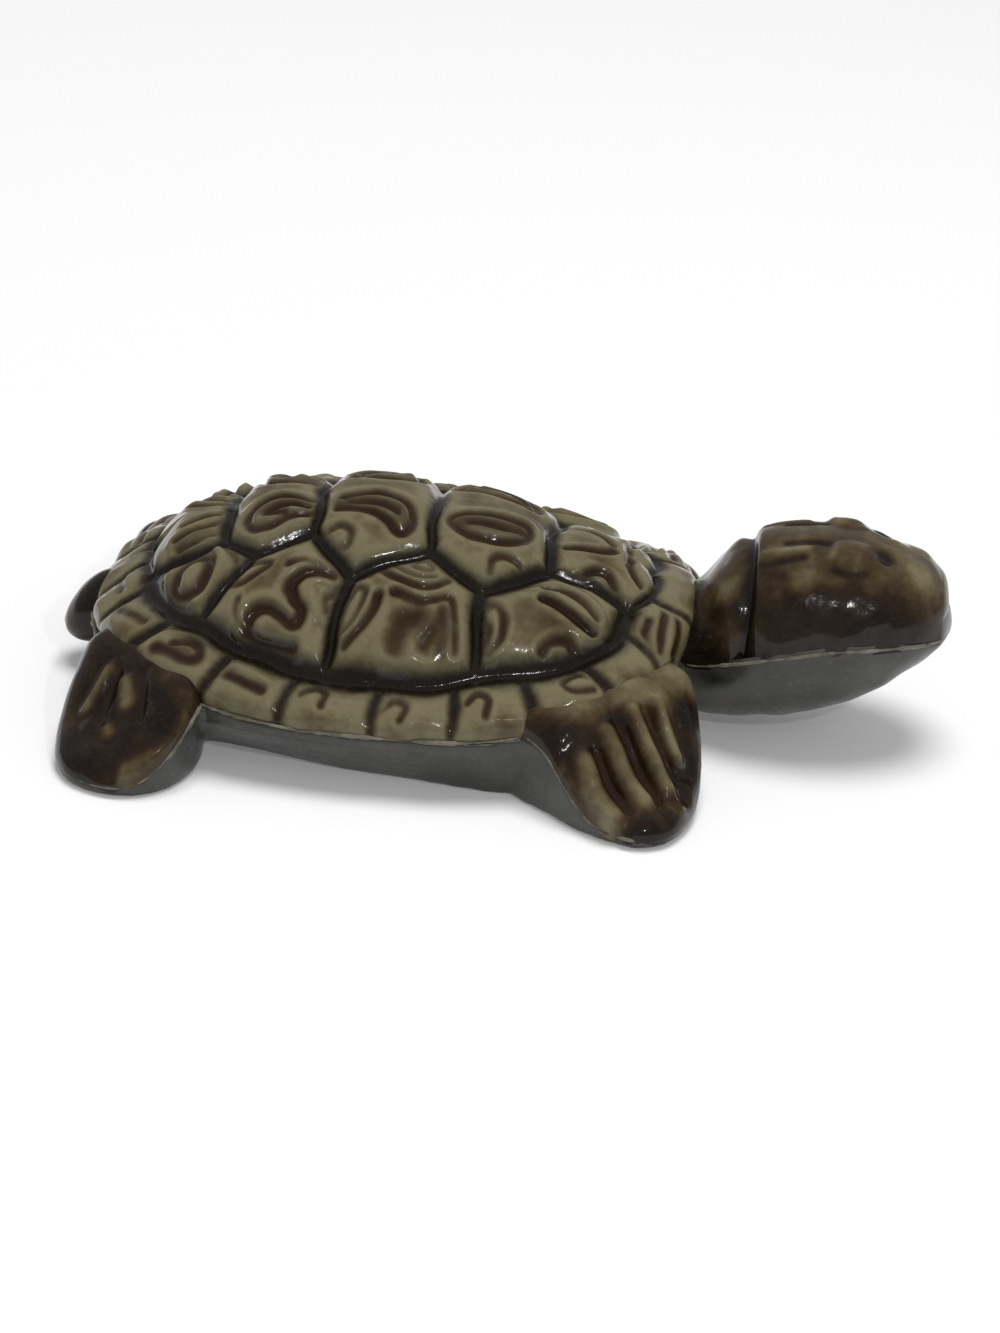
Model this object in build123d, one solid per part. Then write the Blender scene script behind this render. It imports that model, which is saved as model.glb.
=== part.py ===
from build123d import *

import os
from math import cos, hypot, pi, sin

# Turtle figurine of glazed ceramic, cast in two halves that meet at a seam
# running round the whole outline. +X is towards the nose, +Y is the turtle's
# left, +Z is up, and the underside rests on z = 0. Sizes are in millimetres.

# Main sizes
shell_length = 60.6
shell_width = 48.4
body_height = 22.6
flipper_span = 60.6
head_reach = 27.2
head_width = 19.2
tail_reach = 5.3

# Rim and seam of the shell
rim_height = 6.5
rim_lip = 1.6
front_rim_rise = 2.6
rear_rim_rise = 1.2
tip_seam_height = 1.1
rim_band = 1.0
seam_overlap = 0.6

# Grooves between the plates of the shell
groove_depth = 0.9
groove_width = 1.9

# Hollow inside, open at the underside
wall = 3.2

# Flippers
flipper_thickness = 2.3
finger_rise = 0.5
finger_sink = 0.4
finger_half_width = 1.3
foot_band = 0.9

# Crease round the neck, and eyes
crease_width = 0.9
crease_depth = 0.3
eye_diameter = 4.6
eye_spacing = 4.6

# How finely the curved faces are sampled
shell_step = 2.5
seam_step = 2.5
sheet_tolerance = 0.01
outline_points = 36
section_points = 12
head_sections = 17

# Derived sizes
half_length = shell_length / 2
half_width = shell_width / 2
half_span = flipper_span / 2
half_head = head_width / 2
margin = rim_lip
tall = body_height + rim_height
head_root = half_length - rim_lip

# Shape of the shell seen from above: 2 is an ellipse, more is squarer
outline_power = 2.4
flank_flare = 0.35
flank_limit = (0.5 * (1 + flank_flare) / flank_flare) ** 0.5
end_share = 1.12

# Where the seam starts to rise along the rim, and over what run, as shares of
# half_length
front_rise_start_share = 0.26
front_rise_run_share = 0.73
rear_rise_start_share = 0.20
rear_rise_run_share = 0.66

# How the seam falls towards the flipper tips: where the fall starts and its
# run, as shares of half_span, along a slanting distance from the middle
fall_start_share = 0.643
fall_run_share = 0.363
slant_x_share = 0.6
slant_y_share = 0.8
slant_rest_share = 0.4

# Crest of the shell: station along half_length, height over body_height
crest_shares = [
    (-1.02, 0.39), (-1.00, 0.42), (-0.955, 0.475), (-0.89, 0.565), (-0.825, 0.65),
    (-0.74, 0.74), (-0.66, 0.80), (-0.54, 0.88), (-0.40, 0.945), (-0.23, 0.99),
    (-0.05, 1.0), (0.15, 0.99), (0.29, 0.96), (0.43, 0.915), (0.55, 0.865),
    (0.72, 0.79), (0.83, 0.74), (0.97, 0.665), (1.02, 0.635),
]

# Width of the flat underside over the width of the rim, along half_length
ground_shares = [
    (-1.0, 0.85), (-0.70, 0.77), (-0.43, 0.71), (-0.23, 0.75),
    (-0.05, 0.79), (0.23, 0.835), (0.43, 0.92), (0.70, 0.94), (1.0, 0.94),
]
ground_length_share = 0.95

# Borders of the plates on one side, as shares of half_length and half_width
border_shares = [
    # between the middle row and the side row
    [(-0.80, 0.30), (-0.56, 0.27), (-0.45, 0.38), (-0.26, 0.29), (-0.12, 0.48),
     (0.12, 0.33), (0.31, 0.475), (0.53, 0.27), (0.66, 0.27), (0.79, 0.33)],
    # across the middle row
    [(-0.56, 0.27), (-0.56, 0.0)],
    [(-0.26, 0.29), (-0.26, 0.0)],
    [(0.12, 0.33), (0.13, 0.0)],
    [(0.53, 0.27), (0.52, 0.0)],
    # front and rear ends of the middle row
    [(0.79, 0.33), (0.87, 0.16), (0.85, 0.0)],
    [(-0.80, 0.30), (-0.84, 0.14), (-0.85, 0.0)],
    # across the side row
    [(-0.45, 0.38), (-0.58, 0.60)],
    [(-0.12, 0.48), (-0.17, 0.83)],
    [(0.31, 0.475), (0.32, 0.78)],
    # between the side row and the edge row
    [(-0.80, 0.30), (-0.73, 0.52), (-0.58, 0.65), (-0.44, 0.75), (-0.30, 0.81),
     (-0.07, 0.855), (0.15, 0.84), (0.32, 0.79), (0.52, 0.72), (0.72, 0.58),
     (0.79, 0.33)],
    # across the edge row
    [(-0.84, 0.14), (-1.02, 0.16)],
    [(-0.79, 0.36), (-0.96, 0.46)],
    [(-0.68, 0.58), (-0.84, 0.72)],
    [(-0.46, 0.74), (-0.58, 0.95)],
    [(-0.24, 0.825), (-0.28, 1.02)],
    [(0.02, 0.855), (0.02, 1.04)],
    [(0.25, 0.815), (0.28, 1.02)],
    [(0.46, 0.745), (0.53, 0.95)],
    [(0.66, 0.63), (0.78, 0.80)],
    [(0.78, 0.45), (0.92, 0.58)],
    [(0.85, 0.20), (1.02, 0.24)],
]

# Flipper outlines on one side, as shares of half_length and half_span
front_flipper_shares = [
    (0.60, 0.38), (0.88, 0.30), (0.99, 0.37), (1.03, 0.46), (1.055, 0.56),
    (1.06, 0.68), (1.035, 0.82), (0.975, 0.935), (0.89, 0.98), (0.80, 0.96),
    (0.71, 0.915), (0.635, 0.86), (0.575, 0.80), (0.51, 0.75), (0.45, 0.69),
    (0.46, 0.52),
]
rear_flipper_shares = [
    (-0.68, 0.34), (-0.58, 0.44), (-0.545, 0.58), (-0.54, 0.70), (-0.56, 0.79),
    (-0.605, 0.875), (-0.69, 0.945), (-0.80, 0.96), (-0.915, 0.91), (-0.98, 0.82),
    (-1.003, 0.72), (-1.0, 0.62), (-0.98, 0.52), (-0.945, 0.40), (-0.85, 0.30),
]
front_foot_share = 0.95
rear_foot_share = 0.96

# Swell of each flipper: middle in the same shares, heading in radians from +X,
# half length and half width
front_lobe = (0.80, 0.70, 1.05, 13.6, 10.6)
rear_lobe = (-0.76, 0.71, 1.93, 12.2, 9.8)

# Raised fingers of the flippers: root, then tip, in the same shares
front_finger_shares = [
    [(0.66, 0.80), (0.80, 0.945)],
    [(0.74, 0.74), (0.90, 0.92)],
    [(0.83, 0.68), (0.97, 0.84)],
    [(0.91, 0.60), (1.01, 0.72)],
]
rear_finger_shares = [
    [(-0.70, 0.76), (-0.73, 0.92)],
    [(-0.79, 0.70), (-0.83, 0.90)],
    [(-0.87, 0.62), (-0.93, 0.80)],
    [(-0.92, 0.52), (-0.98, 0.66)],
]

# Head and neck, each as station along head_reach and a share: half width over
# half_head, then heights of top, seam and underside over body_height
head_width_shares = [
    (0.00, 0.68), (0.08, 0.71), (0.16, 0.80), (0.24, 0.90), (0.33, 0.965), (0.42, 1.00),
    (0.56, 1.00), (0.68, 0.94), (0.79, 0.82), (0.88, 0.65), (0.95, 0.44), (1.00, 0.20),
]
head_top_shares = [
    (0.00, 0.60), (0.05, 0.63), (0.09, 0.685), (0.13, 0.755), (0.17, 0.82),
    (0.22, 0.872), (0.29, 0.92), (0.42, 0.952), (0.56, 0.957), (0.69, 0.945),
    (0.76, 0.91), (0.82, 0.885), (0.88, 0.865), (0.93, 0.825), (0.97, 0.76), (1.00, 0.665),
]
head_seam_shares = [
    (0.00, 0.395), (0.09, 0.395), (0.25, 0.47), (0.42, 0.535), (0.56, 0.575),
    (0.70, 0.588), (0.82, 0.586), (0.92, 0.572), (1.00, 0.555),
]
head_low_shares = [
    (0.00, 0.075), (0.09, 0.06), (0.25, 0.067), (0.42, 0.10), (0.56, 0.145),
    (0.70, 0.225), (0.79, 0.305), (0.88, 0.40), (0.95, 0.475), (1.00, 0.535),
]
head_roundness = 2.15
throat_roundness = 2.0
eye_station_share = 0.61
eye_height_share = 0.875
crease_station_share = 0.235

# Tail: station along tail_reach, half width over tail_half_width, half height
# over tail_half_height, middle height over body_height
tail_half_width = 3.5
tail_half_height = 3.9
tail_shares = [
    (0.00, 1.00, 1.00, 0.292), (0.34, 0.97, 0.94, 0.270),
    (0.64, 0.82, 0.76, 0.238), (0.86, 0.55, 0.46, 0.210), (1.00, 0.20, 0.14, 0.196),
]


def smooth(t):
    """Ease from 0 to 1 without a kink at either end."""
    t = min(1, max(0, t))
    return t * t * (3 - 2 * t)


def along(table, value):
    """Read a smooth value from a table of (station, value) pairs."""
    stations = [row[0] for row in table]
    values = [row[1] for row in table]
    last = len(table) - 1
    if value <= stations[0]:
        return values[0]
    if value >= stations[last]:
        return values[last]
    k = max(i for i in range(last) if stations[i] <= value)
    span = stations[k + 1] - stations[k]
    before, after = max(k - 1, 0), min(k + 2, last)
    slope_in = (values[k + 1] - values[before]) / (stations[k + 1] - stations[before])
    slope_out = (values[after] - values[k]) / (stations[after] - stations[k])
    t = (value - stations[k]) / span
    return (
        values[k] * (1 + 2 * t) * (1 - t) ** 2
        + values[k + 1] * t * t * (3 - 2 * t)
        + span * t * (1 - t) * (slope_in * (1 - t) - slope_out * t)
    )


def rim_z(x):
    """Height of the seam along the rim of the shell."""
    front = smooth((x / half_length - front_rise_start_share) / front_rise_run_share)
    rear = smooth((-x / half_length - rear_rise_start_share) / rear_rise_run_share)
    return rim_height + front_rim_rise * front + rear_rim_rise * rear


def seam_z(x, y):
    """Height of the seam anywhere: it falls towards the flipper tips."""
    beyond = abs(x) - slant_rest_share * half_length
    outward = slant_x_share * beyond + slant_y_share * abs(y)
    fall = smooth((outward / half_span - fall_start_share) / fall_run_share)
    return rim_z(x) - (rim_z(x) - tip_seam_height) * fall


def dome_profile(reach):
    """Fall of the flank from the crest, 1 at the crest and 0 at the rim."""
    t = min(reach, flank_limit)
    return 1 - (1 + flank_flare) * t * t + flank_flare * t ** 4


def shell_z(x, y):
    """Height of the top of the shell before the grooves are cut."""
    edge = rim_z(x) + rim_lip
    crest = along(crest_shares, x / half_length) * body_height
    inside = 1 - abs(x / (half_length * end_share)) ** outline_power
    across = half_width * inside ** (1 / outline_power)
    return edge + (crest - edge) * dome_profile(abs(y) / across)


def groove_floor_z(x, y):
    """Height of the bottom of the grooves."""
    return shell_z(x, y) - groove_depth


def groove_plan():
    """Flat outline of every groove between the plates, seen from above."""
    strips = []
    for line in border_shares:
        points = [(u * half_length, v * half_width) for u, v in line]
        for (ax, ay), (bx, by) in zip(points, points[1:]):
            run = hypot(bx - ax, by - ay)
            ex, ey = (bx - ax) / run * groove_width / 2, (by - ay) / run * groove_width / 2
            for side in (1, -1):
                corners = [
                    (ax - ey, side * (ay + ex)), (bx - ey, side * (by + ex)),
                    (bx + ey, side * (by - ex)), (ax + ey, side * (ay - ex)),
                ]
                strips.append(make_face(Polyline(*corners, close=True)))
                strips.append(Pos(bx, side * by) * Circle(groove_width / 2))
    return strips[0].fuse(*strips[1:])


def sheet(height, x_range, y_range, step):
    """A curved face over a rectangle, from a height for every point."""
    columns = round((x_range[1] - x_range[0]) / step)
    rows = round((y_range[1] - y_range[0]) / step)
    points = []
    for i in range(columns + 1):
        x = x_range[0] + (x_range[1] - x_range[0]) * i / columns
        line = []
        for j in range(rows + 1):
            y = y_range[0] + (y_range[1] - y_range[0]) * j / rows
            line.append(Vector(x, y, height(x, y)))
        points.append(line)
    return Face.make_surface_from_array_of_points(points, tol=sheet_tolerance)


def below(face):
    """Everything under a curved face."""
    return Solid.extrude(face, Vector(0, 0, -2 * tall))


def above(face):
    """Everything over a curved face."""
    return Solid.extrude(face, Vector(0, 0, 2 * tall))


def ring(points, z):
    """A smooth closed outline at one height."""
    return Wire([Edge.make_spline([Vector(x, y, z) for x, y in points], periodic=True)])


def prism(points, z_low, z_high):
    """A straight wall round an outline."""
    return Solid.extrude(Face(ring(points, z_low)), Vector(0, 0, z_high - z_low))


def shell_outline():
    """Points round the shell, and matching points round the flat underside."""
    rim, ground = [], []
    for i in range(outline_points):
        angle = 2 * pi * (i + 0.5) / outline_points
        c, s = cos(angle), sin(angle)
        u = abs(c) ** (2 / outline_power) * (1 if c > 0 else -1)
        v = abs(s) ** (2 / outline_power) * (1 if s > 0 else -1)
        rim.append((u * half_length, v * half_width))
        share = along(ground_shares, u)
        ground.append((u * half_length * ground_length_share, v * half_width * share))
    return rim, ground


def flipper_outline(shares, side):
    """Outline of a flipper on one side of the body."""
    return [(u * half_length, side * v * half_span) for u, v in shares]


def shrunk(points, share):
    """The same outline drawn in towards its own middle."""
    mx = sum(p[0] for p in points) / len(points)
    my = sum(p[1] for p in points) / len(points)
    return [(mx + (x - mx) * share, my + (y - my) * share) for x, y in points]


def flipper_z(lobe, side):
    """Height function of the top of one flipper."""
    middle_x, middle_y = lobe[0] * half_length, side * lobe[1] * half_span
    heading = lobe[2]
    along_x, along_y = cos(heading), side * sin(heading)

    def height(x, y):
        forth = ((x - middle_x) * along_x + (y - middle_y) * along_y) / lobe[3]
        aside = ((y - middle_y) * along_x - (x - middle_x) * along_y) / lobe[4]
        return seam_z(x, y) + flipper_thickness * (1 - forth ** 4 - aside ** 4)

    return height


def finger(root, tip, side, height):
    """One raised finger lying on top of a flipper."""
    ends = []
    for u, v in (root, tip):
        x, y = u * half_length, side * v * half_span
        ends.append(Vector(x, y, height(x, y) - finger_sink))
    reach = ends[1] - ends[0]
    level = Vector(-reach.Y, reach.X, 0)
    frame = Plane(origin=(ends[0] + ends[1]) / 2, x_dir=reach, z_dir=reach.cross(level))
    body = scale(
        Sphere(finger_half_width),
        by=(
            (reach.length / 2 + finger_half_width) / finger_half_width,
            1,
            (finger_rise + finger_sink) / finger_half_width,
        ),
    )
    return frame * body


def head_at(station, inset):
    """Half width and heights of the head at one station, drawn in by an inset."""
    half = along(head_width_shares, station) * half_head - inset
    top = along(head_top_shares, station) * body_height - inset
    seam = along(head_seam_shares, station) * body_height
    low = along(head_low_shares, station) * body_height + inset
    return half, top, seam, low


def half_round(station, upper, inset):
    """Rounded upper or lower half section, running a little past the seam."""
    half, top, seam, low = head_at(station, inset)
    crown = top - seam if upper else low - seam
    power = 2 / (head_roundness if upper else throat_roundness)
    x = head_root + station * head_reach
    points = []
    for i in range(section_points + 1):
        angle = pi * i / section_points
        c, s = cos(angle), sin(angle)
        y = half * abs(c) ** power * (1 if c > 0 else -1)
        points.append(Vector(x, y, seam + crown * abs(s) ** power))
    past = Vector(0, 0, -seam_overlap if upper else seam_overlap)
    corners = [points[-1], points[-1] + past, points[0] + past, points[0]]
    sides = [Edge.make_line(p, q) for p, q in zip(corners, corners[1:])]
    return Wire([Edge.make_spline(points)] + sides)


def head_half(upper):
    """Upper or lower half of the head and neck."""
    last = head_sections - 1
    rings = [half_round(sin(pi * i / last / 2), upper, 0) for i in range(head_sections)]
    return Solid.make_loft(rings)


def crease(upper):
    """Ring that cuts the crease between neck and head."""
    core = Face(half_round(crease_station_share, upper, crease_depth))
    core = Solid.extrude(core, Vector(crease_width, 0, 0))
    slab = Pos(head_root + crease_station_share * head_reach, 0, 0) * Box(
        crease_width, 2 * head_width, 2 * tall, align=(Align.MIN, Align.CENTER, Align.CENTER)
    )
    return slab - core


def round_section(x, half_y, half_z, z):
    """A full elliptical section across X."""
    plane = Plane(origin=(x, 0, z), x_dir=(0, 1, 0), z_dir=(1, 0, 0))
    return Wire.make_ellipse(half_y, half_z, plane)


# Common faces and walls
seam_face = sheet(
    seam_z,
    (-half_length - tail_reach, half_length + tail_reach),
    (-half_span - tail_reach, half_span + tail_reach),
    seam_step,
)
over_seam = above(seam_face)
under_seam = below(seam_face)
rim_points, ground_points = shell_outline()
shell_wall = prism(rim_points, 0, tall)

# Upper shell
shell_range = (
    (-half_length - margin, half_length + margin),
    (-half_width - margin, half_width + margin),
)
grooves = extrude(groove_plan(), amount=tall, dir=(0, 0, 1))
grooves = grooves & above(sheet(groove_floor_z, *shell_range, shell_step))
carapace = (shell_wall & below(sheet(shell_z, *shell_range, shell_step))) & over_seam
carapace = carapace - grooves

# Hollow shared by the upper shell and the underside, which it leaves open
dome_rise = body_height - groove_depth - wall - rim_height
hollow = scale(
    Sphere(half_width - 2 * wall),
    by=(
        (half_length - 2 * wall) / (half_width - 2 * wall),
        1,
        dome_rise / (half_width - 2 * wall),
    ),
)
hollow = Pos(0, 0, rim_height) * hollow
carapace = carapace - hollow

# Underside: body and the lower halves of the flippers
flare_top = rim_height - rim_band
belly = Solid.make_loft(
    [ring(ground_points, 0), ring(rim_points, flare_top)],
    ruled=True,
)
belly = belly + prism(rim_points, flare_top, tall)
limbs = {}
for name, shares, foot_share, lobe, finger_shares in (
    ("front_flipper", front_flipper_shares, front_foot_share, front_lobe, front_finger_shares),
    ("rear_flipper", rear_flipper_shares, rear_foot_share, rear_lobe, rear_finger_shares),
):
    for side, word in ((-1, "right"), (1, "left")):
        outline = flipper_outline(shares, side)
        limbs[f"{name}_{word}"] = (outline, side, lobe, finger_shares)
        foot = Solid.make_loft(
            [ring(shrunk(outline, foot_share), 0), ring(outline, foot_band)],
            ruled=True,
        )
        belly = belly + foot + prism(outline, foot_band, tall)
belly = belly & under_seam
belly = belly - hollow

# Upper halves of the flippers
flippers = {}
for name, (outline, side, lobe, finger_shares) in limbs.items():
    height = flipper_z(lobe, side)
    xs = [point[0] for point in outline]
    ys = [point[1] for point in outline]
    face = sheet(
        height,
        (min(xs) - margin, max(xs) + margin),
        (min(ys) - margin, max(ys) + margin),
        shell_step,
    )
    flipper = prism(outline, 0, tall) & below(face)
    for root, tip in finger_shares:
        flipper = flipper + finger(root, tip, side, height)
    flippers[name] = (flipper & over_seam) - shell_wall

# Head, throat and tail
head_seam = sheet(
    lambda x, y: along(head_seam_shares, (x - head_root) / head_reach) * body_height,
    (head_root - margin, head_root + head_reach + margin),
    (-head_width, head_width),
    shell_step,
)
eye_x = head_root + eye_station_share * head_reach
head = head_half(True) - crease(True)
for side in (-1, 1):
    centre = (eye_x, side * eye_spacing / 2, eye_height_share * body_height)
    head = head + Pos(*centre) * Sphere(eye_diameter / 2)
head = (head & above(head_seam)) - shell_wall
throat = (head_half(False) & below(head_seam)) - shell_wall
tail_start = -half_length + rim_lip
tail = Solid.make_loft(
    [
        round_section(
            tail_start - station * tail_reach,
            width * tail_half_width,
            height * tail_half_height,
            middle * body_height,
        )
        for station, width, height, middle in tail_shares
    ]
)
tail = tail - shell_wall

nodes = {"carapace": carapace, "belly": belly, "head": head, "throat": throat, "tail": tail}
nodes.update(flippers)
os.makedirs("parts", exist_ok=True)
for name, solid in nodes.items():
    export_step(solid, f"parts/{name}.step")
    print(name, len(solid.solids()), round(solid.volume), solid.bounding_box())
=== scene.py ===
from math import cos, pi, radians, sin

import bpy
import numpy as np
from mathutils import Matrix, Vector


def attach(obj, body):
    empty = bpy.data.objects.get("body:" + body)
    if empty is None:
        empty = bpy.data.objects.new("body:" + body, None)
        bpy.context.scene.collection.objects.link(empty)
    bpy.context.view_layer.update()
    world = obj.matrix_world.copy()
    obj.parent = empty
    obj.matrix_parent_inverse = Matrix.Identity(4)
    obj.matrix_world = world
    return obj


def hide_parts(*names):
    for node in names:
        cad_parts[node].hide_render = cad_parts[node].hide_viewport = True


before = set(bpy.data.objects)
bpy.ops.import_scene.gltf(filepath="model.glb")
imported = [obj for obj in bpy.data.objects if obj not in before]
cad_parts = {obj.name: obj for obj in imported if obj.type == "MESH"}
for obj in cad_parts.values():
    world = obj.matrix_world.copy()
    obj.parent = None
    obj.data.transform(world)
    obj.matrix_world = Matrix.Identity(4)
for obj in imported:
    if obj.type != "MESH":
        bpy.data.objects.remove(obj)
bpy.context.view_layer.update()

# Turtle figurine of glazed ceramic. Sizes here are in millimetres, in the frame
# of the solids, and become metres where a mesh is made. +X is towards the nose,
# +Y is the turtle's left. The marks of both sides are given for one side.
mm = 0.001

# Main sizes, the same as those of the solids
shell_length = 60.6
shell_width = 48.4
body_height = 22.6
flipper_span = 60.6
head_reach = 27.2
head_width = 19.2
tail_reach = 5.3
rim_height = 6.5
rim_lip = 1.6
front_rim_rise = 2.6
rear_rim_rise = 1.2
tip_seam_height = 1.1
half_length = shell_length / 2
half_width = shell_width / 2
half_span = flipper_span / 2
half_head = head_width / 2
head_root = half_length - rim_lip

# Shape of the shell, as shares
outline_power = 2.4
flank_flare = 0.35
flank_limit = (0.5 * (1 + flank_flare) / flank_flare) ** 0.5
end_share = 1.12
crest_shares = [
    (-1.02, 0.39), (-1.00, 0.42), (-0.955, 0.475), (-0.89, 0.565), (-0.825, 0.65),
    (-0.74, 0.74), (-0.66, 0.80), (-0.54, 0.88), (-0.40, 0.945), (-0.23, 0.99),
    (-0.05, 1.0), (0.15, 0.99), (0.29, 0.96), (0.43, 0.915), (0.55, 0.865),
    (0.72, 0.79), (0.83, 0.74), (0.97, 0.665), (1.02, 0.635),
]

# Plates: how far each middle swells over the dome and its edge sinks under it,
# and the distance from the border over which it rounds
plate_swell = 0.42
plate_sink = 0.50
plate_round = 2.5

# Borders between the plates: half width, depth, whether it runs in a smooth
# curve, then points as shares of half_length and half_width
border_shares = [
    (0.74, 0.80, False, [(-0.80, 0.30), (-0.56, 0.27), (-0.45, 0.38), (-0.26, 0.29), (-0.12, 0.48),
                         (0.12, 0.33), (0.31, 0.475), (0.53, 0.27), (0.66, 0.27), (0.79, 0.33)]),
    (0.66, 0.70, False, [(-0.56, 0.27), (-0.56, 0.0)]),
    (0.66, 0.70, False, [(-0.26, 0.29), (-0.26, 0.0)]),
    (0.66, 0.70, False, [(0.12, 0.33), (0.13, 0.0)]),
    (0.66, 0.70, False, [(0.53, 0.27), (0.52, 0.0)]),
    (0.56, 0.55, True, [(0.79, 0.33), (0.87, 0.16), (0.85, 0.0)]),
    (0.62, 0.60, True, [(-0.80, 0.30), (-0.84, 0.14), (-0.85, 0.0)]),
    (0.70, 0.75, False, [(-0.45, 0.38), (-0.58, 0.60)]),
    (0.80, 0.80, False, [(-0.12, 0.48), (-0.17, 0.83)]),
    (0.80, 0.80, False, [(0.31, 0.475), (0.32, 0.78)]),
    (1.10, 0.95, True, [(-0.80, 0.30), (-0.73, 0.52), (-0.58, 0.65), (-0.44, 0.75), (-0.30, 0.81),
                        (-0.07, 0.855), (0.15, 0.84), (0.32, 0.79), (0.52, 0.72), (0.72, 0.58),
                        (0.79, 0.33)]),
    (0.55, 0.55, False, [(-0.84, 0.14), (-1.10, 0.17)]),
    (0.60, 0.55, False, [(-0.79, 0.36), (-1.04, 0.49)]),
    (0.60, 0.60, False, [(-0.68, 0.58), (-0.93, 0.79)]),
    (0.60, 0.60, False, [(-0.46, 0.74), (-0.65, 1.07)]),
    (0.60, 0.60, False, [(-0.24, 0.825), (-0.30, 1.12)]),
    (0.60, 0.60, False, [(0.02, 0.855), (0.02, 1.14)]),
    (0.60, 0.60, False, [(0.25, 0.815), (0.29, 1.12)]),
    (0.60, 0.60, False, [(0.46, 0.745), (0.57, 1.06)]),
    (0.60, 0.60, False, [(0.66, 0.63), (0.86, 0.90)]),
    (0.55, 0.50, False, [(0.78, 0.45), (1.00, 0.64)]),
    (0.50, 0.40, False, [(0.85, 0.20), (1.10, 0.25)]),
]

# Brown glaze run together inside the marks: half width, strength, points
plate_stains = [
    (1.25, 0.80, [(-5.4, 3.3), (-2.4, 3.3), (-0.2, 4.4), (0.5, 5.2)]),
    (1.30, 0.85, [(6.8, 4.5), (9.4, 4.1), (12.0, 3.3)]),
    (0.95, 0.70, [(-9.4, 3.0), (-12.0, 3.0), (-13.6, 4.2)]),
    (0.80, 0.50, [(-21.2, 5.2), (-18.6, 3.9)]),
    (1.05, 0.80, [(1.6, 17.6), (2.5, 16.0), (4.2, 14.9)]),
    (0.75, 0.85, [(6.0, 14.4), (6.2, 16.0), (5.9, 17.6)]),
    (1.50, 0.55, [(3.2, 15.6), (5.4, 15.8)]),
    (1.60, 0.32, [(13.4, 12.4), (15.6, 13.2), (17.4, 13.4)]),
    (0.80, 0.40, [(-9.6, 16.6), (-11.0, 17.0)]),
    (0.90, 0.40, [(-12.8, 4.9), (-11.0, 5.0)]),
    (0.60, 0.70, [(-19.8, 17.5), (-18.2, 18.4)]),
    (0.60, 0.55, [(-14.2, 20.9), (-12.2, 21.6)]),
    (0.55, 0.40, [(-26.4, 9.8), (-25.4, 11.8)]),
]

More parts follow.
